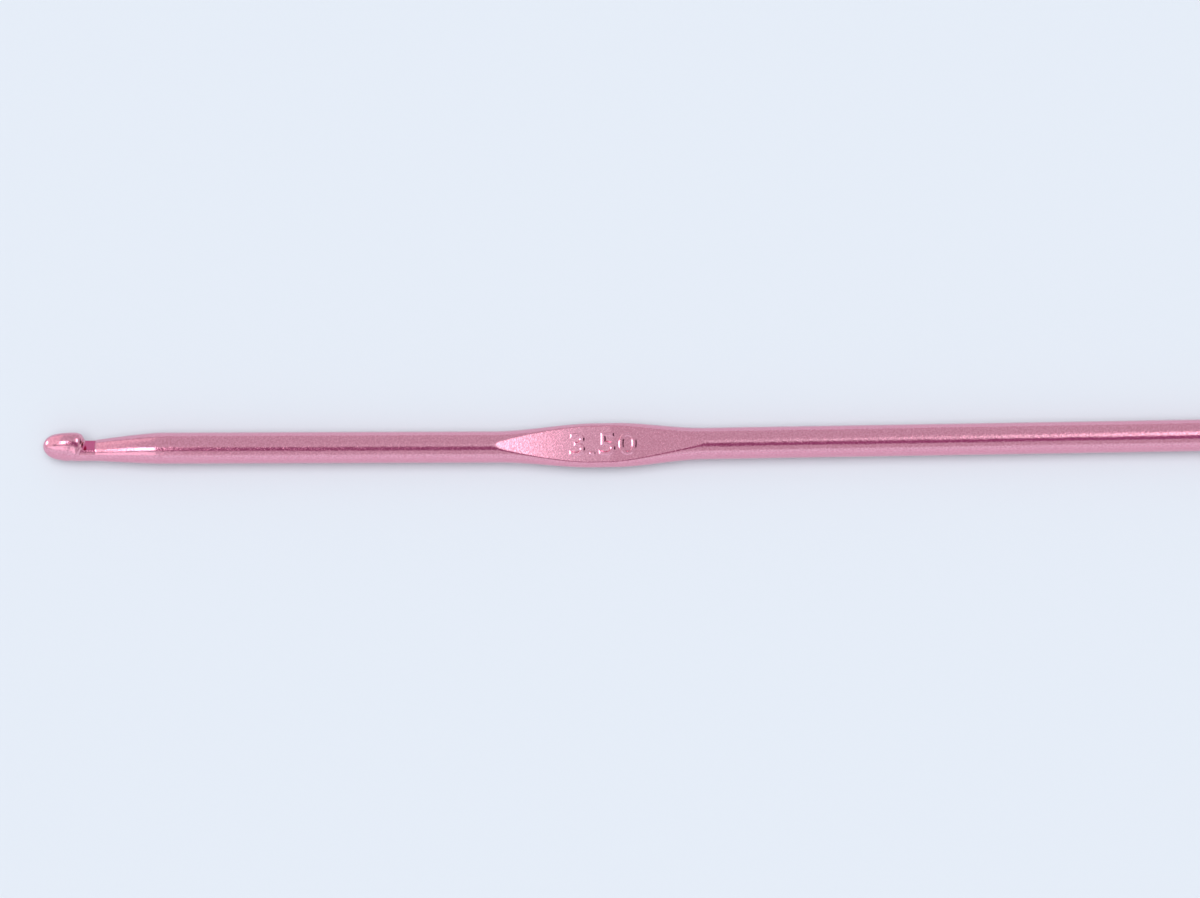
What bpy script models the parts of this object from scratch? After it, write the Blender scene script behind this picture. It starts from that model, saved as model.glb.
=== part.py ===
"""A crochet hook made from one length of aluminium rod.

The blank is turned along X, from the tip of the head to the tail. The head stands slightly
towards its mouth and the neck slightly away from it. The thumb rest is spread sideways and
pressed flat on both faces, the throat is cut behind the lip, and the size digits stand up
from the upper flat. The front of the rod leans by a small angle where the thumb rest begins.
The rod is one piece of metal. It is held here as its four stretches, head, shank, thumb rest
and handle, which meet at hairline gaps, so that each stretch has a simple solid of its own.

Units are metres, with +Z up. The hook lies on its shank on z = 0, with the head towards -X
and the upper flat of the thumb rest facing +Z. The origin is below its middle.
"""

import math

import bmesh
import bpy
from mathutils import Matrix, Vector

MM = 0.001

# Rod. Positions called "from the tip" are measured along the rod's axis.
LENGTH = 150.0 * MM
SHANK_RADIUS = 1.75 * MM
TAIL_DOME_LENGTH = 1.5 * MM
ROD_SIDES = 40

# Head and neck. An offset is towards the mouth where it is positive.
TIP_DOME_LENGTH = 1.9 * MM
TIP_RADIUS = 1.39 * MM
HEAD_RADIUS = 1.52 * MM
HEAD_OFFSET = 0.22 * MM
HEAD_SWELL_FROM_TIP = 1.4 * MM
HEAD_CREST_FROM_TIP = 2.9 * MM
HEAD_DEPTH_FACTOR = 1.14
HEAD_BREADTH_FACTOR = 0.76
LIP_BREADTH_FACTOR = 1.08
LIP_RADIUS = 1.16 * MM
LIP_OFFSET = -0.06 * MM
LIP_FROM_TIP = 3.8 * MM
SHOULDER_LENGTH = 0.4 * MM
NECK_RADIUS = 1.19 * MM
NECK_OFFSET = -0.25 * MM
NECK_FROM_TIP = 6.0 * MM
TAPER_LENGTH = 7.0 * MM
TAPER_CONVEXITY = 1.25

# Mouth, drawn in the plane of the rod's axis and the way the mouth opens.
MOUTH_ROLL = math.radians(50.0)
MOUTH_LEAN = math.radians(31.0)
LIP_END_FROM_TIP = 4.82 * MM
LIP_NOSE_RADIUS = 0.30 * MM
LIP_NOSE_HEIGHT = 1.06 * MM
THROAT_FLOOR_HEIGHT = 0.40 * MM
THROAT_FILLET = 0.22 * MM
THROAT_BACK_FROM_TIP = 5.94 * MM

# Thumb rest, from its front end towards the tail.
REST_FROM_TIP = 50.5 * MM
REST_LENGTH = 22.9 * MM
REST_WIDTH = 4.92 * MM
REST_THICKNESS = 2.0 * MM
FRONT_RAMP_LENGTH = 9.8 * MM
FRONT_RAMP_POWER = 1.5
BACK_RAMP_LENGTH = 10.2 * MM
BACK_RAMP_POWER = 1.15
FRONT_SPREAD_LENGTH = 10.8 * MM
BACK_SPREAD_LENGTH = 9.8 * MM

# Raised size digits on the upper flat.
SIZE_DIGITS = "3.50"
DIGIT_HEIGHT = 2.6 * MM
DIGIT_SPACING = 1.05
DIGIT_WIDENING = 1.25
DIGIT_RELIEF = 0.12 * MM
DIGIT_ROOT = 0.10 * MM
DIGITS_PAST_REST_MIDDLE = 0.4 * MM

# The front of the rod leans sideways where the thumb rest begins.
FRONT_LEAN = math.radians(0.75)

# The hairline left between two stretches of the rod.
STRETCH_GAP = 0.1 * MM

CUTTER_REACH = 4.0 * MM
MERGE_DISTANCE = 0.001 * MM
SHARP_ANGLE = math.radians(30.0)
ANODISED_PINK = (0.58, 0.16, 0.28, 1.0)


def clear_scene():
    for old in list(bpy.data.objects):
        bpy.data.objects.remove(old, do_unlink=True)


def new_collection(name):
    collection = bpy.data.collections.new(name)
    bpy.context.scene.collection.children.link(collection)
    return collection


def ease(share):
    """Runs smoothly from 0 to 1 while share does, and is flat at both ends."""
    share = min(max(share, 0.0), 1.0)
    return share * share * (3.0 - 2.0 * share)


def between(low, high, share):
    return low + (high - low) * share


def steps(start, end, count):
    """Places after start, up to and including end, in equal steps."""
    return [between(start, end, (i + 1) / count) for i in range(count)]


def taper_share(x):
    """0 at the neck and 1 where the taper reaches the full shank."""
    share = min(max((x - NECK_FROM_TIP) / TAPER_LENGTH, 0.0), 1.0)
    return 1.0 - (1.0 - share) ** TAPER_CONVEXITY


def head_station(x, at_head, at_lip, at_neck):
    """A size that goes from its value at the head to those at the lip and the neck."""
    if x < LIP_FROM_TIP:
        share = max((x - HEAD_CREST_FROM_TIP) / (LIP_FROM_TIP - HEAD_CREST_FROM_TIP), 0.0)
        return between(at_head, at_lip, share * share)
    return between(at_lip, at_neck, ease((x - LIP_FROM_TIP) / SHOULDER_LENGTH))


def tip_dome(x):
    """Radius of the domed tip at a distance from it."""
    return TIP_RADIUS * math.sqrt(max(1.0 - (1.0 - x / TIP_DOME_LENGTH) ** 2, 0.0))


def blank_radius(x):
    """Radius of the turned blank at a distance from the tip."""
    if x < HEAD_SWELL_FROM_TIP:
        return tip_dome(x)
    if x < HEAD_CREST_FROM_TIP:
        past = x - HEAD_SWELL_FROM_TIP
        share = past / (HEAD_CREST_FROM_TIP - HEAD_SWELL_FROM_TIP)
        start = tip_dome(HEAD_SWELL_FROM_TIP)
        rest_of_dome = TIP_DOME_LENGTH - HEAD_SWELL_FROM_TIP
        slope = (TIP_RADIUS / TIP_DOME_LENGTH) ** 2 * rest_of_dome / start
        return between(start, HEAD_RADIUS, ease(share)) + slope * past * (1.0 - share) ** 2
    if x < NECK_FROM_TIP:
        return head_station(x, HEAD_RADIUS, LIP_RADIUS, NECK_RADIUS)
    from_tail = LENGTH - x
    if from_tail < TAIL_DOME_LENGTH:
        back = 1.0 - from_tail / TAIL_DOME_LENGTH
        return SHANK_RADIUS * math.sqrt(max(1.0 - back * back, 0.0))
    return between(NECK_RADIUS, SHANK_RADIUS, taper_share(x))


def mouth_offset(x):
    """How far the blank's centre stands towards the mouth."""
    if x < NECK_FROM_TIP:
        return head_station(x, HEAD_OFFSET, LIP_OFFSET, NECK_OFFSET)
    return NECK_OFFSET * (1.0 - taper_share(x))


def section_lean(x):
    """How far the blank's sections lean with the lip, as a slope."""
    front = ease((x - TIP_DOME_LENGTH) / (LIP_FROM_TIP - TIP_DOME_LENGTH))
    behind_lip = LIP_FROM_TIP + SHOULDER_LENGTH
    back = ease((NECK_FROM_TIP - x) / (NECK_FROM_TIP - behind_lip))
    return math.tan(MOUTH_LEAN) * min(front, back)


def rest_half_width(x):
    """Half width of the rod, which is wider in the thumb rest."""
    front = ease((x - REST_FROM_TIP) / FRONT_SPREAD_LENGTH)
    back = ease((REST_FROM_TIP + REST_LENGTH - x) / BACK_SPREAD_LENGTH)
    return between(SHANK_RADIUS, REST_WIDTH / 2.0, min(front, back))


def ramp(share, power):
    """Runs from 0 to 1 while share does, at a slope that eases off towards the end."""
    return 1.0 - (1.0 - min(max(share, 0.0), 1.0)) ** power


def flat_height(x):
    """Height of the pressed flat above the rod's axis."""
    front = ramp((x - REST_FROM_TIP) / FRONT_RAMP_LENGTH, FRONT_RAMP_POWER)
    back = ramp((REST_FROM_TIP + REST_LENGTH - x) / BACK_RAMP_LENGTH, BACK_RAMP_POWER)
    return between(SHANK_RADIUS, REST_THICKNESS / 2.0, min(front, back))


def dome_places(length, count):
    """Distances from a domed end that stand at equal angles round the dome."""
    return [length * (1.0 - math.cos(math.pi / 2.0 * i / count)) for i in range(count + 1)]


def ring_places():
    """Where the blank has a ring of vertices, from the tip to the tail."""
    places = dome_places(TIP_DOME_LENGTH, 8)
    places += steps(TIP_DOME_LENGTH, HEAD_CREST_FROM_TIP, 4)
    places += steps(HEAD_CREST_FROM_TIP, LIP_FROM_TIP, 4)
    places += steps(LIP_FROM_TIP, LIP_FROM_TIP + SHOULDER_LENGTH, 5)
    places += steps(LIP_FROM_TIP + SHOULDER_LENGTH, NECK_FROM_TIP, 5)
    places += steps(NECK_FROM_TIP, NECK_FROM_TIP + TAPER_LENGTH, 7)
    places += steps(NECK_FROM_TIP + TAPER_LENGTH, REST_FROM_TIP, 3)
    places += steps(REST_FROM_TIP, REST_FROM_TIP + REST_LENGTH, 24)
    places += steps(REST_FROM_TIP + REST_LENGTH, LENGTH - TAIL_DOME_LENGTH, 5)
    places += [LENGTH - gap for gap in reversed(dome_places(TAIL_DOME_LENGTH, 7)[:-1])]
    return places


def mouth_direction():
    return Vector((0.0, math.sin(MOUTH_ROLL), math.cos(MOUTH_ROLL)))


def empty_at(name, location, collection):
    empty = bpy.data.objects.new(name, None)
    empty.location = location
    collection.objects.link(empty)
    return empty


def anodised_aluminium(piece):
    material = bpy.data.materials.new(piece + "_anodised_aluminium")
    material.use_nodes = True
    shader = material.node_tree.nodes["Principled BSDF"]
    shader.inputs["Base Color"].default_value = ANODISED_PINK
    shader.inputs["Metallic"].default_value = 1.0
    shader.inputs["Roughness"].default_value = 0.35
    return material


def turned_blank(collection):
    """The rod as it leaves the lathe, as a profile turned about its own axis."""
    shape = bmesh.new()
    outline = [shape.verts.new((blank_radius(x), 0.0, -x)) for x in ring_places()]
    for first, second in zip(outline, outline[1:]):
        shape.edges.new((first, second))
    mesh = bpy.data.meshes.new("blank_profile")
    shape.to_mesh(mesh)
    shape.free()
    profile = bpy.data.objects.new("blank_profile", mesh)
    collection.objects.link(profile)
    screw = profile.modifiers.new("turned", "SCREW")
    screw.axis = "Z"
    screw.steps = ROD_SIDES
    screw.render_steps = ROD_SIDES
    screw.use_merge_vertices = True
    screw.merge_threshold = MERGE_DISTANCE
    blank = meshed(profile, "crochet_hook", collection)
    half_side = math.pi / ROD_SIDES
    blank.data.transform(Matrix.Rotation(half_side, 4, "X") @ Matrix.Rotation(-math.pi / 2.0, 4, "Y"))
    return blank


def meshed(source, name, collection):
    """Replaces an object with one whose mesh is what its curve or modifiers make."""
    bpy.context.view_layer.update()
    depsgraph = bpy.context.evaluated_depsgraph_get()
    mesh = bpy.data.meshes.new_from_object(source.evaluated_get(depsgraph))
    mesh.name = name
    shape = bmesh.new()
    shape.from_mesh(mesh)
    bmesh.ops.remove_doubles(shape, verts=shape.verts, dist=MERGE_DISTANCE)
    bmesh.ops.recalc_face_normals(shape, faces=shape.faces)
    shape.to_mesh(mesh)
    shape.free()
    result = bpy.data.objects.new(name, mesh)
    result.matrix_world = source.matrix_world
    collection.objects.link(result)
    bpy.data.objects.remove(source, do_unlink=True)
    return result


def work_the_blank(blank):
    """Forges the head deeper than it is broad, sets it over and spreads the thumb rest."""
    mouth = mouth_direction()
    across = Vector((1.0, 0.0, 0.0)).cross(mouth)
    for vertex in blank.data.vertices:
        x = vertex.co.x
        if x < NECK_FROM_TIP:
            deeper = head_station(x, HEAD_DEPTH_FACTOR, HEAD_DEPTH_FACTOR, 1.0)
            narrower = head_station(x, HEAD_BREADTH_FACTOR, LIP_BREADTH_FACTOR, 1.0)
            up = vertex.co.dot(mouth) * deeper
            side = vertex.co.dot(across) * narrower
            vertex.co = Vector((x, 0.0, 0.0)) + mouth * up + across * side
        vertex.co += mouth * mouth_offset(x)
        vertex.co.x += section_lean(x) * vertex.co.dot(mouth)
        vertex.co.y *= rest_half_width(x) / SHANK_RADIUS


def bar_cutter(name, outline, half_width, collection):
    """A bar along Y whose outline is given as (x, z) points round it."""
    curve = bpy.data.curves.new(name, "CURVE")
    curve.dimensions = "2D"
    curve.fill_mode = "BOTH"
    curve.extrude = half_width
    spline = curve.splines.new("POLY")
    spline.points.add(len(outline) - 1)
    for point, (x, z) in zip(spline.points, outline):
        point.co = (x, z, 0.0, 1.0)
    spline.use_cyclic_u = True
    flat = bpy.data.objects.new(name, curve)
    collection.objects.link(flat)
    flat.matrix_world = Matrix.Rotation(math.pi / 2.0, 4, "X")
    return meshed(flat, name, collection)


def press_outline(face):
    """The press die over one face of the thumb rest: 1 is the upper face, -1 the lower."""
    places = [REST_FROM_TIP] + steps(REST_FROM_TIP, REST_FROM_TIP + REST_LENGTH, 34)
    outline = [(x, flat_height(x) * face) for x in places]
    outline.append((places[-1], CUTTER_REACH * face))
    outline.append((places[0], CUTTER_REACH * face))
    return outline


def arc(centre, radius, start, end, count):
    """Points round an arc, with its angles in radians from +X."""
    points = []
    for i in range(count + 1):
        angle = between(start, end, i / count)
        points.append((centre[0] + radius * math.cos(angle), centre[1] + radius * math.sin(angle)))
    return points


def mouth_outline():
    """The throat and the rounded nose of the lip, as (from tip, height) points."""
    nose = (LIP_END_FROM_TIP - LIP_NOSE_RADIUS, LIP_NOSE_HEIGHT)
    outline = [(nose[0] - CUTTER_REACH / 2.0, CUTTER_REACH)]
    outline += arc(nose, LIP_NOSE_RADIUS, math.radians(75.0), -MOUTH_LEAN, 10)
    nose_low = outline[-1]
    fillet_height = THROAT_FLOOR_HEIGHT + THROAT_FILLET
    wall_drop = nose_low[1] - fillet_height + THROAT_FILLET * math.sin(MOUTH_LEAN)
    root = nose_low[0] - wall_drop * math.tan(MOUTH_LEAN)
    fillet = (root + THROAT_FILLET * math.cos(MOUTH_LEAN), fillet_height)
    outline += arc(fillet, THROAT_FILLET, math.pi - MOUTH_LEAN, math.pi * 1.5, 6)
    outline.append((THROAT_BACK_FROM_TIP, THROAT_FLOOR_HEIGHT))
    outline.append((THROAT_BACK_FROM_TIP, CUTTER_REACH))
    return outline


def size_digits(collection):
    """The raised digits, with a root below the flat they stand on."""
    text = bpy.data.curves.new("size_digits", "FONT")
    text.body = SIZE_DIGITS
    text.align_x = "CENTER"
    text.align_y = "CENTER"
    text.space_character = DIGIT_SPACING
    text.resolution_u = 3
    text.extrude = (DIGIT_RELIEF + DIGIT_ROOT) / 2.0
    written = bpy.data.objects.new("size_digits", text)
    collection.objects.link(written)
    digits = meshed(written, "size_digits", collection)
    low = min(vertex.co.y for vertex in digits.data.vertices)
    high = max(vertex.co.y for vertex in digits.data.vertices)
    left = min(vertex.co.x for vertex in digits.data.vertices)
    right = max(vertex.co.x for vertex in digits.data.vertices)
    scale = DIGIT_HEIGHT / (high - low)
    middle = REST_FROM_TIP + REST_LENGTH / 2.0 + DIGITS_PAST_REST_MIDDLE
    for vertex in digits.data.vertices:
        x = (vertex.co.x - (left + right) / 2.0) * scale * DIGIT_WIDENING
        y = (vertex.co.y - (low + high) / 2.0) * scale
        along = middle + x
        raised = (DIGIT_RELIEF - DIGIT_ROOT) / 2.0 + vertex.co.z
        vertex.co = (along, y, flat_height(along) + raised)
    return digits


def use_as_tool(target, tool, operation):
    """Cuts or joins a tool into the target and leaves the tool out of renders."""
    boolean = target.modifiers.new(tool.name, "BOOLEAN")
    boolean.object = tool
    boolean.operation = operation
    boolean.solver = "EXACT"
    tool.display_type = "WIRE"
    tool.hide_render = True


def stretch(rod, name, start, end, collection):
    """One stretch of the rod as a closed solid of its own; None is the rod's own end."""
    shape = bmesh.new()
    shape.from_mesh(rod.data)
    for place, keep in ((start, 1.0), (end, -1.0)):
        if place is None:
            continue
        cut = bmesh.ops.bisect_plane(
            shape,
            geom=shape.verts[:] + shape.edges[:] + shape.faces[:],
            plane_co=(place + keep * STRETCH_GAP / 2.0, 0.0, 0.0),
            plane_no=(-keep, 0.0, 0.0),
            clear_outer=True,
        )
        rim = [item for item in cut["geom_cut"] if isinstance(item, bmesh.types.BMEdge)]
        bmesh.ops.contextual_create(shape, geom=rim)
    bmesh.ops.recalc_face_normals(shape, faces=shape.faces)
    mesh = bpy.data.meshes.new(name)
    shape.to_mesh(mesh)
    shape.free()
    mesh.shade_smooth()
    mesh.set_sharp_from_angle(angle=SHARP_ANGLE)
    result = bpy.data.objects.new(name, mesh)
    collection.objects.link(result)
    return result


def build():
    clear_scene()
    parts = new_collection("crochet_hook")
    tools = new_collection("cutters")
    rod = turned_blank(tools)
    work_the_blank(rod)
    upper = bar_cutter("upper_press", press_outline(1), REST_WIDTH, tools)
    lower = bar_cutter("lower_press", press_outline(-1), REST_WIDTH, tools)
    throat = bar_cutter("throat_cut", mouth_outline(), CUTTER_REACH, tools)
    throat.matrix_world = Matrix.Rotation(-MOUTH_ROLL, 4, "X") @ throat.matrix_world
    digits = size_digits(tools)
    use_as_tool(rod, upper, "DIFFERENCE")
    use_as_tool(rod, lower, "DIFFERENCE")
    use_as_tool(rod, throat, "DIFFERENCE")
    use_as_tool(rod, digits, "UNION")
    rod = meshed(rod, "whole_rod", tools)
    rod.hide_render = True
    rod.display_type = "WIRE"

    # The origin is below the middle of the hook, and the shank lies on z = 0.
    tip = REST_FROM_TIP * (1.0 - math.cos(FRONT_LEAN))
    axis_height = SHANK_RADIUS * math.cos(math.pi / ROD_SIDES)
    base = empty_at("rod_axis", (-(tip + LENGTH) / 2.0, 0.0, axis_height), parts)
    front = empty_at("front_axis", (REST_FROM_TIP, 0.0, 0.0), parts)
    front.rotation_euler = (0.0, 0.0, -FRONT_LEAN)
    front.parent = base

    taper_end = NECK_FROM_TIP + TAPER_LENGTH
    rest_end = REST_FROM_TIP + REST_LENGTH
    head = stretch(rod, "head", None, taper_end, parts)
    shank = stretch(rod, "shank", taper_end, REST_FROM_TIP, parts)
    thumb_rest = stretch(rod, "thumb_rest", REST_FROM_TIP, rest_end, parts)
    handle = stretch(rod, "handle", rest_end, None, parts)
    for piece in (head, shank):
        piece.parent = front
        piece.location = (-REST_FROM_TIP, 0.0, 0.0)
    for piece in (thumb_rest, handle):
        piece.parent = base
    for piece in (head, shank, thumb_rest, handle):
        piece.data.materials.append(anodised_aluminium(piece.name))


build()
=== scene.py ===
# %% [markdown]
# # A pink aluminium crochet hook
#
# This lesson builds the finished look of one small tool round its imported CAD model. The hook
# is a single length of aluminium rod, 3.5 mm thick and 150 mm long. Its head is turned and
# notched, its thumb rest is pressed flat between two dies that also raise the size digits,
# and all of it is dyed pink by anodising.
#
# The CAD model gives the places. Every size below is in metres, in the CAD model's own frame:
# +X runs from the head to the tail, and +Z points up out of the thumb rest's upper flat.

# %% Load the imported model
import math

import bpy
from mathutils import Matrix, Vector


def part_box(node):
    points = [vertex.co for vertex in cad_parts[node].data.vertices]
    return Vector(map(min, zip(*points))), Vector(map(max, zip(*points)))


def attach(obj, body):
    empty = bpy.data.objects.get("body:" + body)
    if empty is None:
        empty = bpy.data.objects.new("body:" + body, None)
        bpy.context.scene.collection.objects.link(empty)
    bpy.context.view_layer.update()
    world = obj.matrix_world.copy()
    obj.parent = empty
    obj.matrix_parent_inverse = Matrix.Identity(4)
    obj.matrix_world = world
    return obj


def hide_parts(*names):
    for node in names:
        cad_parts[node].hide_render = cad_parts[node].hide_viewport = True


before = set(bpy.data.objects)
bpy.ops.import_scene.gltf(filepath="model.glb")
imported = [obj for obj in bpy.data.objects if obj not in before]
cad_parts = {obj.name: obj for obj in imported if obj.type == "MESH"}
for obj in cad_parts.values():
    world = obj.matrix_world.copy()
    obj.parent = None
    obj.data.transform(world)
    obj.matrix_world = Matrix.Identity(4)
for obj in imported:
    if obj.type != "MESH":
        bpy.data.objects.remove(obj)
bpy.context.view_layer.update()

MM = 0.001
print("nodes:", sorted(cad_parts))

# %% [markdown]
# ## Places along the rod
#
# The rod is one piece, and the CAD model holds it as four stretches with hairline gaps. The
# middle of each gap is where one stretch ends, so the four boxes give the stations that the
# finished rod needs. "From the tip" is a distance along the rod.

# %% Stations from the CAD boxes
head_low, head_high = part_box("head")
shank_low, shank_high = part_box("shank")
rest_low, rest_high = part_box("thumb_rest")
handle_low, handle_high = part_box("handle")

TAIL_X = handle_high.x
REST_X = (shank_high.x + rest_low.x) / 2
HANDLE_X = (rest_high.x + handle_low.x) / 2
AXIS_Z = (handle_low.z + handle_high.z) / 2
FRONT_LEAN = math.radians(0.75)
TIP_X = REST_X - (REST_X - head_low.x) / math.cos(FRONT_LEAN)
TAPER_END = (head_high.x + shank_low.x) / 2 - TIP_X
REST_START = REST_X - TIP_X
REST_END = HANDLE_X - TIP_X
LENGTH = TAIL_X - TIP_X
SHANK_RADIUS = 1.75 * MM
print(f"length {LENGTH / MM:.2f}, taper ends {TAPER_END / MM:.2f}, rest {REST_START / MM:.2f}"
      f" to {REST_END / MM:.2f} mm from the tip")

# %% [markdown]
# ## The profile of the rod
#
# A turned rod is half an outline spun about its axis. The outline could be a curve with a
# Screw modifier, but drawing it one vertex at a time is as quick: one point is extruded from
# station to station, and `spin` turns the chain into a tube. The stations stand close together
# where the rod will be worked, round the head and in the thumb rest, and far apart on the plain
# stretches, so that the fine faces are where the light needs them.

# %% Sizes of the head, the thumb rest and the tail
TIP_DOME_LENGTH = 1.9 * MM
TIP_RADIUS = 1.39 * MM
HEAD_RADIUS = 1.52 * MM
HEAD_OFFSET = 0.22 * MM
HEAD_SWELL = 1.4 * MM
HEAD_CREST = 2.9 * MM
HEAD_DEPTH_FACTOR = 1.14
HEAD_BREADTH_FACTOR = 0.76
LIP_BREADTH_FACTOR = 1.08
LIP_RADIUS = 1.16 * MM
LIP_OFFSET = -0.06 * MM
LIP = 3.8 * MM
SHOULDER_LENGTH = 0.4 * MM
NECK_RADIUS = 1.19 * MM
NECK_OFFSET = -0.25 * MM
NECK = 6.0 * MM
TAPER_CONVEXITY = 1.25
MOUTH_ROLL = math.radians(50.0)
MOUTH_LEAN = math.radians(31.0)
THROAT_FLOOR = 0.40 * MM
THROAT_BACK = 5.94 * MM
TAIL_DOME_LENGTH = 1.5 * MM
REST_WIDTH = 4.92 * MM
REST_THICKNESS = 2.0 * MM
FRONT_RAMP_LENGTH = 9.8 * MM
FRONT_RAMP_POWER = 1.5
BACK_RAMP_LENGTH = 10.2 * MM
BACK_RAMP_POWER = 1.15
FRONT_SPREAD_LENGTH = 10.8 * MM
BACK_SPREAD_LENGTH = 9.8 * MM


# %% How each size runs along the rod
def ease(share):
    """From 0 to 1 while share does, flat at both ends."""
    share = min(max(share, 0.0), 1.0)
    return share * share * (3.0 - 2.0 * share)


def between(low, high, share):
    return low + (high - low) * share


def taper_share(x):
    share = min(max((x - NECK) / (TAPER_END - NECK), 0.0), 1.0)
    return 1.0 - (1.0 - share) ** TAPER_CONVEXITY


def head_station(x, at_head, at_lip, at_neck):
    if x < LIP:
        share = max((x - HEAD_CREST) / (LIP - HEAD_CREST), 0.0)
        return between(at_head, at_lip, share * share)
    return between(at_lip, at_neck, ease((x - LIP) / SHOULDER_LENGTH))


def tip_dome(x):
    return TIP_RADIUS * math.sqrt(max(1.0 - (1.0 - x / TIP_DOME_LENGTH) ** 2, 0.0))


def rod_radius(x):
    if x < HEAD_SWELL:
        return tip_dome(x)
    if x < HEAD_CREST:
        start = tip_dome(HEAD_SWELL)
        slope = (TIP_RADIUS / TIP_DOME_LENGTH) ** 2 * (TIP_DOME_LENGTH - HEAD_SWELL) / start
        share = (x - HEAD_SWELL) / (HEAD_CREST - HEAD_SWELL)
        carried_on = slope * (x - HEAD_SWELL) * (1.0 - share) ** 2
        return between(start, HEAD_RADIUS, ease(share)) + carried_on
    if x < NECK:
        return head_station(x, HEAD_RADIUS, LIP_RADIUS, NECK_RADIUS)
    if LENGTH - x < TAIL_DOME_LENGTH:
        back = 1.0 - (LENGTH - x) / TAIL_DOME_LENGTH
        return SHANK_RADIUS * math.sqrt(max(1.0 - back * back, 0.0))
    return between(NECK_RADIUS, SHANK_RADIUS, taper_share(x))


# %% Where the rings of vertices stand
SIDES = 180
SLIDE_LENGTH = 3.0 * MM


def steps(start, end, count):
    return [between(start, end, (i + 1) / count) for i in range(count)]


def dome(length, count):
    return [length * (1.0 - math.cos(math.pi / 2.0 * i / count)) for i in range(count + 1)]


stations = dome(TIP_DOME_LENGTH, 24)
stations += steps(TIP_DOME_LENGTH, HEAD_CREST, 10)
stations += steps(HEAD_CREST, LIP, 10)
stations += steps(LIP, LIP + SHOULDER_LENGTH, 20)
stations += steps(LIP + SHOULDER_LENGTH, THROAT_BACK, 14)
stations += steps(THROAT_BACK, NECK, 3)
stations += steps(NECK, TAPER_END, 40)
stations += steps(TAPER_END, REST_START - SLIDE_LENGTH, 8)
stations += steps(REST_START - SLIDE_LENGTH, REST_START, 8)
stations += steps(REST_START, REST_END, 130)
stations += steps(REST_END, REST_END + SLIDE_LENGTH, 8)
stations += steps(REST_END + SLIDE_LENGTH, LENGTH - TAIL_DOME_LENGTH, 10)
stations += [LENGTH - gap for gap in reversed(dome(TAIL_DOME_LENGTH, 18)[:-1])]
print(len(stations), "stations,", SIDES, "sides")

# %% Draw the half outline and spin it
SEED_SIZE = 0.1 * MM
MERGE_DISTANCE = 0.0001 * MM


def deselect_everything():
    for item in bpy.context.selected_objects:
        item.select_set(False)


def drawn_chain(name, points):
    """A new object whose mesh is one chain of vertices extruded through the points."""
    deselect_everything()
    bpy.ops.mesh.primitive_plane_add(size=SEED_SIZE, location=points[0])
    drawn = bpy.context.object
    drawn.name = name
    bpy.ops.object.transform_apply(location=True, rotation=True, scale=True)
    bpy.ops.object.mode_set(mode="EDIT")
    bpy.ops.mesh.select_all(action="SELECT")
    bpy.ops.mesh.merge(type="CENTER")
    for here, there in zip(points, points[1:]):
        step = tuple(b - a for a, b in zip(here, there))
        bpy.ops.mesh.extrude_region_move(TRANSFORM_OT_translate={"value": step})
    bpy.ops.object.mode_set(mode="OBJECT")
    return drawn


hook = drawn_chain("hook_rod", [(TIP_X + x, 0.0, AXIS_Z + rod_radius(x)) for x in stations])
bpy.ops.object.mode_set(mode="EDIT")
bpy.ops.mesh.select_all(action="SELECT")
bpy.ops.mesh.spin(steps=SIDES, angle=2.0 * math.pi, use_auto_merge=False,
                  center=(0.0, 0.0, AXIS_Z), axis=(1.0, 0.0, 0.0))
bpy.ops.mesh.select_all(action="SELECT")
bpy.ops.mesh.remove_doubles(threshold=MERGE_DISTANCE)
bpy.ops.mesh.normals_make_consistent(inside=False)
bpy.ops.object.mode_set(mode="OBJECT")
print("spun rod:", len(hook.data.vertices), "vertices,", len(hook.data.polygons), "faces")

# %% [markdown]
# ## Working the blank
#
# On the real hook the head is deeper through the mouth than it is broad across it, the bar is
# set over a little behind the lip, and its sections lean with the lip. Dies then spread the
# thumb rest sideways and press it flat on both faces. Each ring of the mesh needs its own
# amount of all of this, so the rings are worked by formula in one pass rather than ring by
# ring with transforms. Where the flats end in a crease, the line of vertices 44 degrees up
# the side is slid along the ring until it lies on the crease, so the crease stays a clean
# line and its small rounding is made of whole faces.

# %% The worked shape of one ring
CREASE_LINE = math.radians(44.0)
CREASE_HIGHEST = math.radians(80.0)
CREASE_CROWDING = 1.3
CREASE_ROUNDING = 0.08 * MM


def mouth_offset(x):
    if x < NECK:
        return head_station(x, HEAD_OFFSET, LIP_OFFSET, NECK_OFFSET)
    return NECK_OFFSET * (1.0 - taper_share(x))


def section_lean(x):
    front = ease((x - TIP_DOME_LENGTH) / (LIP - TIP_DOME_LENGTH))
    back = ease((NECK - x) / (NECK - LIP - SHOULDER_LENGTH))
    return math.tan(MOUTH_LEAN) * min(front, back)


def rest_half_width(x):
    front = ease((x - REST_START) / FRONT_SPREAD_LENGTH)
    back = ease((REST_END - x) / BACK_SPREAD_LENGTH)
    return between(SHANK_RADIUS, REST_WIDTH / 2.0, min(front, back))


def ramp(share, power):
    """From 0 to 1 while share does, steep at first and level at the end."""
    return 1.0 - (1.0 - min(max(share, 0.0), 1.0)) ** power


def flat_height(x):
    front = ramp((x - REST_START) / FRONT_RAMP_LENGTH, FRONT_RAMP_POWER)
    back = ramp((REST_END - x) / BACK_RAMP_LENGTH, BACK_RAMP_POWER)
    return between(SHANK_RADIUS, REST_THICKNESS / 2.0, min(front, back))


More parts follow.
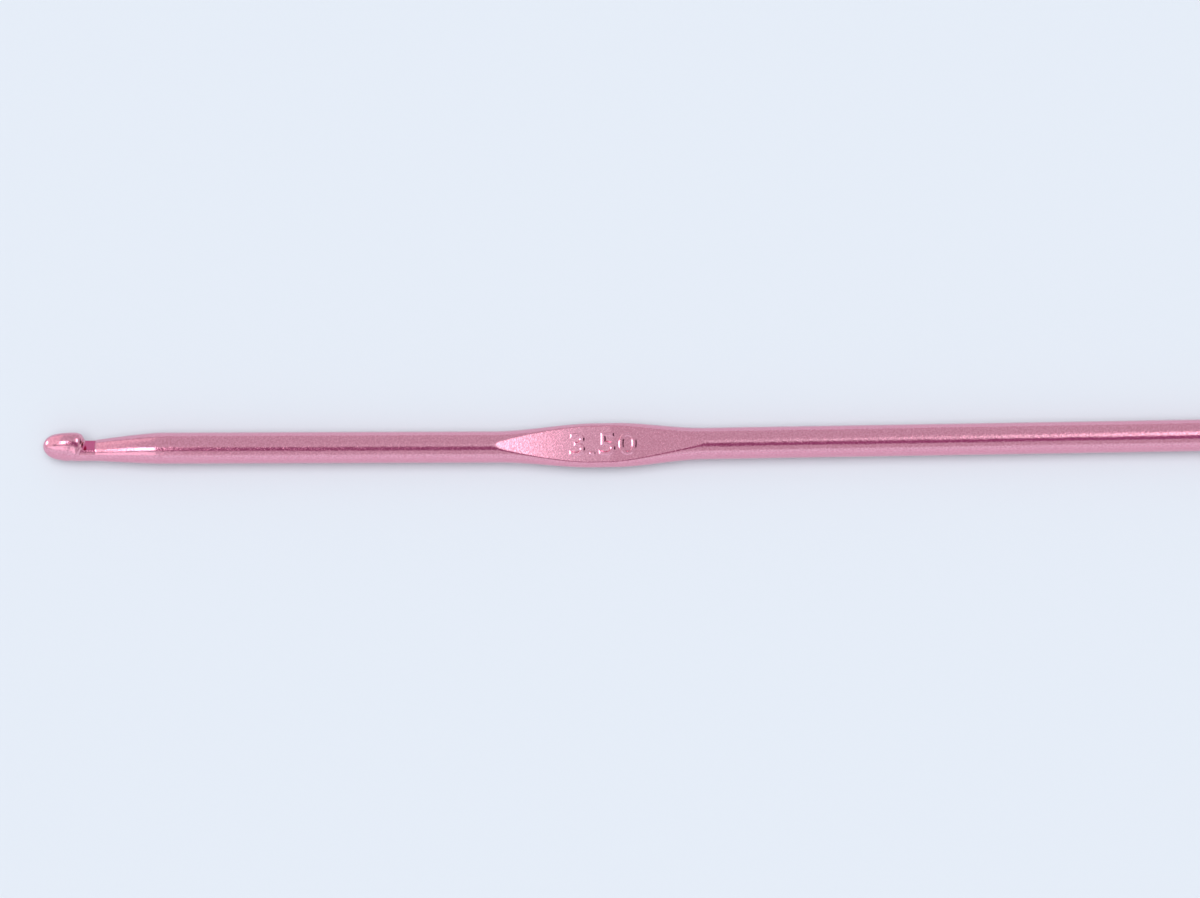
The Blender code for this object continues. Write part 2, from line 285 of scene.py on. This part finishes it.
def slid_up_side(up, x):
    """Where a vertex goes round a quarter of the ring so that one line meets the crease."""
    near = min(ease((x - REST_START + SLIDE_LENGTH) / SLIDE_LENGTH),
               ease((REST_END + SLIDE_LENGTH - x) / SLIDE_LENGTH))
    crease = min(math.asin(min(flat_height(x) / SHANK_RADIUS, 1.0)), CREASE_HIGHEST)
    if up <= CREASE_LINE:
        share = 1.0 - (1.0 - up / CREASE_LINE) ** CREASE_CROWDING
        slid = crease * share
    else:
        share = ((up - CREASE_LINE) / (math.pi / 2.0 - CREASE_LINE)) ** CREASE_CROWDING
        slid = between(crease, math.pi / 2.0, share)
    return between(up, slid, near)


def rounded_lower(first, second, rounding):
    """The lower of two heights, with the corner between them rounded off."""
    overlap = max(rounding - abs(first - second), 0.0)
    return min(first, second) - overlap * overlap / (4.0 * rounding)


def pressed(side, height, x):
    """A point of a round ring after the dies, from its place across and up."""
    up = slid_up_side(math.atan2(abs(height), abs(side)), x)
    across = rest_half_width(x) * math.cos(up)
    flat = flat_height(x)
    risen = SHANK_RADIUS * math.sin(up)
    if flat < SHANK_RADIUS:
        risen = rounded_lower(risen, flat, min(CREASE_ROUNDING, SHANK_RADIUS - flat))
    return math.copysign(across, side), math.copysign(risen, height)


# %% Work every vertex
mouth = Vector((0.0, math.sin(MOUTH_ROLL), math.cos(MOUTH_ROLL)))
across = Vector((0.0, math.cos(MOUTH_ROLL), -math.sin(MOUTH_ROLL)))


def forged(section, x):
    """The head is deeper through the mouth than it is broad across it."""
    deeper = head_station(x, HEAD_DEPTH_FACTOR, HEAD_DEPTH_FACTOR, 1.0)
    narrower = head_station(x, HEAD_BREADTH_FACTOR, LIP_BREADTH_FACTOR, 1.0)
    return mouth * (section.dot(mouth) * deeper) + across * (section.dot(across) * narrower)


for vertex in hook.data.vertices:
    x = vertex.co.x - TIP_X
    section = Vector((0.0, vertex.co.y, vertex.co.z - AXIS_Z))
    if x < TAPER_END:
        if x < NECK:
            section = forged(section, x)
        section += mouth * mouth_offset(x)
        x += section_lean(x) * section.dot(mouth)
    elif REST_START - SLIDE_LENGTH < x < REST_END + SLIDE_LENGTH:
        section.y, section.z = pressed(section.y, section.z, x)
    vertex.co = (TIP_X + x, section.y, AXIS_Z + section.z)
print(f"thumb rest: {REST_WIDTH / MM:.2f} mm wide, {REST_THICKNESS / MM:.2f} mm thick")

# %% [markdown]
# ## Cutting the throat
#
# The throat is cut with one pass of a shaped cutter behind the lip. It has an undercut that
# leans with the lip, a small fillet and a flat floor. The cutter is drawn as an outline,
# filled, and extruded across the rod, and a Boolean takes it out of the head. Modelling the
# notch by pulling ring vertices down would smear the lip, and the Boolean keeps its edge
# crisp. The cutter's lower faces carry a mark that the Boolean hands on to the faces it
# leaves. The finish uses that mark to paint shade into the deep throat: a darker pink there
# and less of the clear coat's white reflection.

# %% Draw the cutter's outline
LIP_END = 4.82 * MM
NOSE_RADIUS = 0.30 * MM
NOSE_HEIGHT = 1.06 * MM
THROAT_FILLET = 0.22 * MM
CUTTER_REACH = 4.0 * MM
NOSE_START = math.radians(75.0)
# Cutter faces lower than this pass on the mark for the painted shade in the throat.
PAINTED_SHADE_UP_TO = 0.95 * MM


def arc(centre, radius, start, end, count):
    points = []
    for i in range(count + 1):
        angle = between(start, end, i / count)
        points.append((centre[0] + radius * math.cos(angle), centre[1] + radius * math.sin(angle)))
    return points


nose = (LIP_END - NOSE_RADIUS, NOSE_HEIGHT)
outline = [(nose[0] - CUTTER_REACH / 2.0, CUTTER_REACH)]
outline += arc(nose, NOSE_RADIUS, NOSE_START, -MOUTH_LEAN, 24)
fillet_height = THROAT_FLOOR + THROAT_FILLET
wall_drop = outline[-1][1] - fillet_height + THROAT_FILLET * math.sin(MOUTH_LEAN)
wall_foot = outline[-1][0] - wall_drop * math.tan(MOUTH_LEAN)
fillet = (wall_foot + THROAT_FILLET * math.cos(MOUTH_LEAN), fillet_height)
outline += arc(fillet, THROAT_FILLET, math.pi - MOUTH_LEAN, math.pi * 1.5, 12)
outline += [(THROAT_BACK, THROAT_FLOOR), (THROAT_BACK, CUTTER_REACH)]
print(len(outline), "points round the cutter")

# %% Extrude it and cut
axis_tip = Vector((TIP_X, 0.0, AXIS_Z))
edge_points = [axis_tip + Vector((x, 0.0, 0.0)) + mouth * up - across * CUTTER_REACH
               for x, up in outline]
cutter = drawn_chain("throat_cutter", edge_points)
bpy.ops.object.mode_set(mode="EDIT")
bpy.ops.mesh.select_all(action="SELECT")
bpy.ops.mesh.edge_face_add()
bpy.ops.mesh.extrude_region_move(
    TRANSFORM_OT_translate={"value": tuple(across * (2.0 * CUTTER_REACH))})
bpy.ops.mesh.select_all(action="SELECT")
bpy.ops.mesh.normals_make_consistent(inside=False)
bpy.ops.object.mode_set(mode="OBJECT")

deselect_everything()
hook.select_set(True)
bpy.context.view_layer.objects.active = hook
# The cutter's lower faces carry the mark for painted shade, and the Boolean hands it on to the
# throat.
hook.data.attributes.new("throat", "FLOAT", "FACE")
cutter_shade_mask = cutter.data.attributes.new("throat", "FLOAT", "FACE")
heights = [(face.center - axis_tip).dot(mouth) for face in cutter.data.polygons]
cutter_shade_mask.data.foreach_set("value", [float(up < PAINTED_SHADE_UP_TO) for up in heights])
cut = hook.modifiers.new("throat", "BOOLEAN")
cut.object = cutter
cut.operation = "DIFFERENCE"
cut.solver = "EXACT"
bpy.ops.object.modifier_apply(modifier=cut.name)
bpy.data.objects.remove(cutter, do_unlink=True)
cut_faces = sum(mark.value > 0.5 for mark in hook.data.attributes["throat"].data)
print("after the cut:", len(hook.data.vertices), "vertices,", cut_faces, "faces in the throat")

# %% [markdown]
# ## Setting the front of the rod over
#
# The real rod isn't quite straight: everything in front of the thumb rest leans sideways by
# less than a degree. The front's vertices are turned about the place where the thumb rest
# begins, and the ring at the hinge stays where it is, so nothing tears there.

# %% Lean the front
HINGE_CLEARANCE = 0.001 * MM
SHARP_ANGLE = math.radians(35.0)

hinge = Matrix.Translation((REST_X, 0.0, 0.0))
turn = hinge @ Matrix.Rotation(-FRONT_LEAN, 4, "Z") @ hinge.inverted()
for vertex in hook.data.vertices:
    if vertex.co.x < REST_X - HINGE_CLEARANCE:
        vertex.co = turn @ vertex.co
bpy.ops.object.shade_smooth_by_angle(angle=SHARP_ANGLE)
tip = min((vertex.co for vertex in hook.data.vertices), key=lambda place: place.x)
print("the tip now stands at", [round(v / MM, 2) for v in tip], "mm")

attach(hook, "root")
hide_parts("head", "shank", "thumb_rest", "handle")

# %% [markdown]
# ## Raised size digits
#
# The upper die has the size sunk in it, so the number stands up out of the flat with sloping
# sides, as on a coin. A text object gives the digits, and its bevel gives the slopes. The
# bevel would fatten the strokes, so they are trimmed by a negative offset. The text is made a
# mesh first, then laid on the flat, which rises a little under the last digit.

# %% The digits
SIZE_DIGITS = "3.50"
DIGIT_HEIGHT = 2.6 * MM
DIGIT_SPACING = 1.05
DIGIT_WIDENING = 1.25
DIGIT_RELIEF = 0.12 * MM
DIGIT_SLOPE = 0.17 * MM
DIGIT_ROOT = 0.03 * MM
PAST_REST_MIDDLE = 0.4 * MM
CAPITAL_SHARE = 0.72
STROKE_TRIM = -0.06 * MM
DIGIT_MERGE = 0.001 * MM
DIGIT_SHARP_ANGLE = math.radians(22.0)
CURVE_STEPS = 12

deselect_everything()
bpy.ops.object.text_add(location=(0.0, 0.0, 0.0))
digits = bpy.context.object
digits.name = "size_digits"
digits.data.body = SIZE_DIGITS
digits.data.align_x = "CENTER"
digits.data.align_y = "CENTER"
digits.data.space_character = DIGIT_SPACING
digits.data.size = DIGIT_HEIGHT / CAPITAL_SHARE
digits.data.resolution_u = CURVE_STEPS
digits.data.extrude = 0.0
digits.data.bevel_depth = DIGIT_SLOPE
digits.data.bevel_resolution = 0
digits.data.offset = STROKE_TRIM
bpy.ops.object.convert(target="MESH")
digits = bpy.context.object
bpy.ops.object.mode_set(mode="EDIT")
bpy.ops.mesh.select_all(action="SELECT")
bpy.ops.mesh.remove_doubles(threshold=DIGIT_MERGE)
bpy.ops.mesh.normals_make_consistent(inside=False)
bpy.ops.object.mode_set(mode="OBJECT")

# %% Lay them on the flat
low = Vector([min(v.co[i] for v in digits.data.vertices) for i in range(3)])
high = Vector([max(v.co[i] for v in digits.data.vertices) for i in range(3)])
scale = DIGIT_HEIGHT / (high.y - low.y)
middle = (REST_START + REST_END) / 2.0 + PAST_REST_MIDDLE
steepness = (DIGIT_RELIEF + DIGIT_ROOT) / DIGIT_SLOPE
centre = (low + high) / 2.0
for vertex in digits.data.vertices:
    x = middle + (vertex.co.x - centre.x) * scale * DIGIT_WIDENING
    y = (vertex.co.y - centre.y) * scale
    z = DIGIT_RELIEF + (vertex.co.z - high.z) * steepness
    vertex.co = (TIP_X + x, y, AXIS_Z + flat_height(x) + z)
bpy.ops.object.shade_smooth_by_angle(angle=DIGIT_SHARP_ANGLE)
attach(digits, "root")
print(f"digits: {(high.x - low.x) * scale * DIGIT_WIDENING / MM:.2f} mm long,"
      f" {DIGIT_HEIGHT / MM:.2f} mm tall")

# %% [markdown]
# ## Anodised aluminium
#
# Anodising grows a clear, dyed oxide layer on the metal. The metal below has the fine
# lengthwise lines of the drawn bar and a satin grain, and the layer on top adds a thin white
# reflection of its own. So the finish is a metal with a tinted reflection under a clear coat.

# %% The finish's colours and sizes
DULL_PINK = (0.75, 0.27, 0.38, 1.0)
BRIGHT_PINK = (0.86, 0.35, 0.47, 1.0)
# Painted shade: a darker pink for the throat, with less clear coat below, stands in for the shade
# deep in the notch.
THROAT_PAINTED_SHADE = (0.62, 0.11, 0.24, 1.0)
GRAZING_TINT = (0.75, 0.64, 0.70, 1.0)
COAT_ROUGHNESS = 0.15
COAT_IOR = 1.6
COAT_IN_THROAT = 0.2
SMOOTHEST = 0.11
ROUGHEST = 0.19
LINE_STRETCH = (0.3, 1.0, 1.0)
LINES_PER_METRE = 4000.0
GRAINS_PER_METRE = 5000.0
LINE_STRENGTH = 0.8
GRAIN_STRENGTH = 0.5
BUMP_HEIGHT = 0.016 * MM

# %% The material and its helpers
pink = bpy.data.materials.new("pink_anodised_aluminium")
pink.use_nodes = True
nodes = pink.node_tree.nodes
links = pink.node_tree.links
shader = nodes["Principled BSDF"]
shader.inputs["Metallic"].default_value = 1.0
shader.inputs["Specular Tint"].default_value = GRAZING_TINT
shader.inputs["Coat Roughness"].default_value = COAT_ROUGHNESS
shader.inputs["Coat IOR"].default_value = COAT_IOR


def node(kind, place, **settings):
    made = nodes.new(kind)
    made.location = place
    for name, value in settings.items():
        setattr(made, name, value)
    return made


def noise(place, vector, scale, detail=2.0, roughness=0.5):
    made = node("ShaderNodeTexNoise", place)
    made.inputs["Scale"].default_value = scale
    made.inputs["Detail"].default_value = detail
    made.inputs["Roughness"].default_value = roughness
    links.new(vector, made.inputs["Vector"])
    return made.outputs["Fac"]


def remapped(place, value, from_low, from_high, to_low, to_high):
    made = node("ShaderNodeMapRange", place)
    for name, number in (("From Min", from_low), ("From Max", from_high),
                         ("To Min", to_low), ("To Max", to_high)):
        made.inputs[name].default_value = number
    links.new(value, made.inputs["Value"])
    return made.outputs["Result"]


# %% Lines, grain and colour
where = node("ShaderNodeTexCoord", (-1400, 0)).outputs["Object"]
along_bar = node("ShaderNodeMapping", (-1200, 200))
along_bar.inputs["Scale"].default_value = LINE_STRETCH
links.new(where, along_bar.inputs["Vector"])

lines = noise((-1000, 300), along_bar.outputs["Vector"], LINES_PER_METRE, 3.0, 0.6)
grain = noise((-1000, 0), where, GRAINS_PER_METRE)

tint = node("ShaderNodeMix", (-400, 300), data_type="RGBA")
tint.inputs["A"].default_value = DULL_PINK
tint.inputs["B"].default_value = BRIGHT_PINK
links.new(remapped((-700, -300), grain, 0.35, 0.65, 0.0, 1.0), tint.inputs["Factor"])
# Painted shade: the marked throat faces take the darker pink and a thinner coat, for the shade
# deep in the notch.
throat_shade_mask = node("ShaderNodeAttribute", (-700, 600), attribute_name="throat")
deeper = node("ShaderNodeMix", (-200, 400), data_type="RGBA")
deeper.inputs["B"].default_value = THROAT_PAINTED_SHADE
links.new(throat_shade_mask.outputs["Fac"], deeper.inputs["Factor"])
links.new(tint.outputs["Result"], deeper.inputs["A"])
links.new(deeper.outputs["Result"], shader.inputs["Base Color"])
coat = remapped((-400, 600), throat_shade_mask.outputs["Fac"], 0.0, 1.0, 1.0, COAT_IN_THROAT)
links.new(coat, shader.inputs["Coat Weight"])
roughness = remapped((-700, 0), grain, 0.3, 0.7, SMOOTHEST, ROUGHEST)
links.new(roughness, shader.inputs["Roughness"])

# %% Bumps
line_bump = node("ShaderNodeBump", (-500, -100))
line_bump.inputs["Strength"].default_value = LINE_STRENGTH
line_bump.inputs["Distance"].default_value = BUMP_HEIGHT
links.new(lines, line_bump.inputs["Height"])
grain_bump = node("ShaderNodeBump", (-300, -100))
grain_bump.inputs["Strength"].default_value = GRAIN_STRENGTH
grain_bump.inputs["Distance"].default_value = BUMP_HEIGHT
links.new(grain, grain_bump.inputs["Height"])
links.new(line_bump.outputs["Normal"], grain_bump.inputs["Normal"])
links.new(grain_bump.outputs["Normal"], shader.inputs["Normal"])

for piece in (hook, digits):
    piece.data.materials.clear()
    piece.data.materials.append(pink)
print("finish:", pink.name, len(nodes), "nodes")

# %% [markdown]
# ## Floor
#
# The hook lies on a pale sheet of card, so the floor is a broad plain plane at z = 0.

# %% The floor
FLOOR_SIZE = 6.0
FLOOR_COLOUR = (0.62, 0.66, 0.71, 1.0)

deselect_everything()
bpy.ops.mesh.primitive_plane_add(size=FLOOR_SIZE, location=(0.0, 0.0, 0.0))
floor = bpy.context.object
floor.name = "floor"
card = bpy.data.materials.new("pale_card")
card.use_nodes = True
card_shader = card.node_tree.nodes["Principled BSDF"]
card_shader.inputs["Base Color"].default_value = FLOOR_COLOUR
card_shader.inputs["Roughness"].default_value = 0.9
card_shader.inputs["Specular IOR Level"].default_value = 0.2
floor.data.materials.append(card)

# %% [markdown]
# ## Light
#
# Soft daylight fills the room, and one broad soft lamp overhead gives the hook its shadow.
# Small curved metal shows its surroundings more than it shows its lamps, so cards hang round
# the table. The dark ones, over the near side, draw the dark line along the rod, and the pale
# ones beside them draw the highlights. The cards only show in the metal, as in a product
# studio.

# %% The daylight
SKY_COLOUR = (0.90, 0.93, 1.0, 1.0)
SKY_STRENGTH = 0.70

world = bpy.data.worlds.new("daylight")
bpy.context.scene.world = world
world.use_nodes = True
sky = world.node_tree.nodes["Background"]
sky.inputs["Color"].default_value = SKY_COLOUR
sky.inputs["Strength"].default_value = SKY_STRENGTH

# %% How lamps and cards are made
LAMP_DISTANCE = 3.0
CARD_DISTANCE = 2.5


def direction(toward_x, toward_y):
    """A direction from the hook, by its angles from straight up towards +X and +Y."""
    lean = math.hypot(toward_x, toward_y)
    if lean == 0.0:
        return Vector((0.0, 0.0, 1.0))
    flat = math.sin(math.radians(lean)) / lean
    return Vector((flat * toward_x, flat * toward_y, math.cos(math.radians(lean))))


def soft_lamp(name, place, size, power, colour):
    """A round lamp that lights the floor and the hook but doesn't show in the metal."""
    light = bpy.data.lights.new(name, "AREA")
    light.shape = "DISK"
    light.size = size
    light.energy = power
    light.color = colour
    lamp = bpy.data.objects.new(name, light)
    bpy.context.collection.objects.link(lamp)
    lamp.location = place
    lamp.rotation_euler = place.to_track_quat("Z", "Y").to_euler()
    lamp.visible_glossy = False


def reflected_card(name, toward_x, toward_y, radiance, distance=CARD_DISTANCE):
    """A glowing card, between two angles each way, that only shows in the metal."""
    deselect_everything()
    bpy.ops.mesh.primitive_plane_add(size=1.0, location=(0.0, 0.0, 0.0))
    made = bpy.context.object
    made.name = name
    corners = [(toward_x[0], toward_y[0]), (toward_x[1], toward_y[0]),
               (toward_x[0], toward_y[1]), (toward_x[1], toward_y[1])]
    for vertex, (x, y) in zip(made.data.vertices, corners):
        vertex.co = direction(x, y) * distance
    glow = bpy.data.materials.new(name)
    glow.use_nodes = True
    glow.node_tree.nodes.clear()
    emission = glow.node_tree.nodes.new("ShaderNodeEmission")
    emission.inputs["Color"].default_value = (*radiance, 1.0)
    output = glow.node_tree.nodes.new("ShaderNodeOutputMaterial")
    glow.node_tree.links.new(emission.outputs["Emission"], output.inputs["Surface"])
    made.data.materials.append(glow)
    made.visible_camera = False
    made.visible_diffuse = False
    made.visible_shadow = False


# %% Hang them
lamp_place = direction(0.0, 1.0) * LAMP_DISTANCE
soft_lamp("overhead_soft_lamp", lamp_place, 2.8, 68.9, (1.0, 0.99, 0.97))
reflected_card("dark_card", (-17.0, 0.0), (-30.0, -3.0), (0.29, 0.12, 0.25))
reflected_card("dark_card_tail", (0.0, 24.0), (-31.0, -8.0), (0.33, 0.14, 0.29))
reflected_card("left_card", (-32.0, -17.0), (-22.0, -1.0), (5.0, 5.1, 5.3))
reflected_card("left_gap", (-36.0, -16.0), (-31.0, -22.0), (0.35, 0.33, 0.36), 2.45)
reflected_card("left_wall", (-70.0, -19.0), (-30.0, 70.0), (1.0, 0.97, 1.0), 3.0)
reflected_card("left_low", (-70.0, -17.0), (-80.0, -31.0), (1.30, 1.38, 1.46), 2.4)
reflected_card("right_card", (2.5, 22.0), (-6.0, 14.0), (1.2, 1.27, 1.32), 2.6)
reflected_card("right_window", (8.0, 20.0), (-3.0, 22.0), (3.9, 3.9, 4.1), 2.4)
reflected_card("near_card", (-70.0, 70.0), (-88.0, -31.0), (0.84, 0.98, 1.05))
reflected_card("far_wall", (-80.0, 80.0), (62.0, 84.0), (0.50, 0.42, 0.50))
reflected_card("bright_end", (-84.0, -64.0), (-6.0, 22.0), (4.4, 4.4, 4.6), 2.2)
reflected_card("dark_end", (58.0, 86.0), (-12.0, 28.0), (0.06, 0.02, 0.06), 2.2)
reflected_card("middle_card", (-5.5, 2.5), (0.0, 14.0), (0.78, 0.90, 0.93), 2.7)

# %% [markdown]
# ## Camera
#
# The camera looks almost straight down from the near side, a little from the tail's end, and
# is turned a degree so that the rod rises towards the tail. The tail runs out of the frame.

# %% The camera
CAMERA_DISTANCE = 0.45
CAMERA_TOWARD_TAIL = math.radians(4.0)
CAMERA_TOWARD_FRONT = math.radians(8.0)
CAMERA_ROLL = math.radians(0.955)
FRAME_WIDTH = 131.9 * MM
LOOK_AT = (-13.08 * MM, -0.41 * MM)
SENSOR_WIDTH = 36.0

look_at = Vector((*LOOK_AT, AXIS_Z))
back = Vector((math.tan(CAMERA_TOWARD_TAIL), -math.tan(CAMERA_TOWARD_FRONT), 1.0)).normalized()
right_way = Vector((math.cos(CAMERA_ROLL), -math.sin(CAMERA_ROLL), 0.0))
right_way = (right_way - back * right_way.dot(back)).normalized()
up_way = back.cross(right_way)
camera_data = bpy.data.cameras.new("camera")
camera_data.sensor_width = SENSOR_WIDTH
camera_data.lens = SENSOR_WIDTH * CAMERA_DISTANCE / FRAME_WIDTH
camera_data.clip_start = 10.0 * MM
camera = bpy.data.objects.new("camera", camera_data)
bpy.context.collection.objects.link(camera)
turned = Matrix((right_way, up_way, back)).transposed().to_4x4()
camera.matrix_world = Matrix.Translation(look_at + back * CAMERA_DISTANCE) @ turned
bpy.context.scene.camera = camera
bpy.context.scene.view_settings.view_transform = "Standard"
print("lens", round(camera_data.lens, 1), "mm")
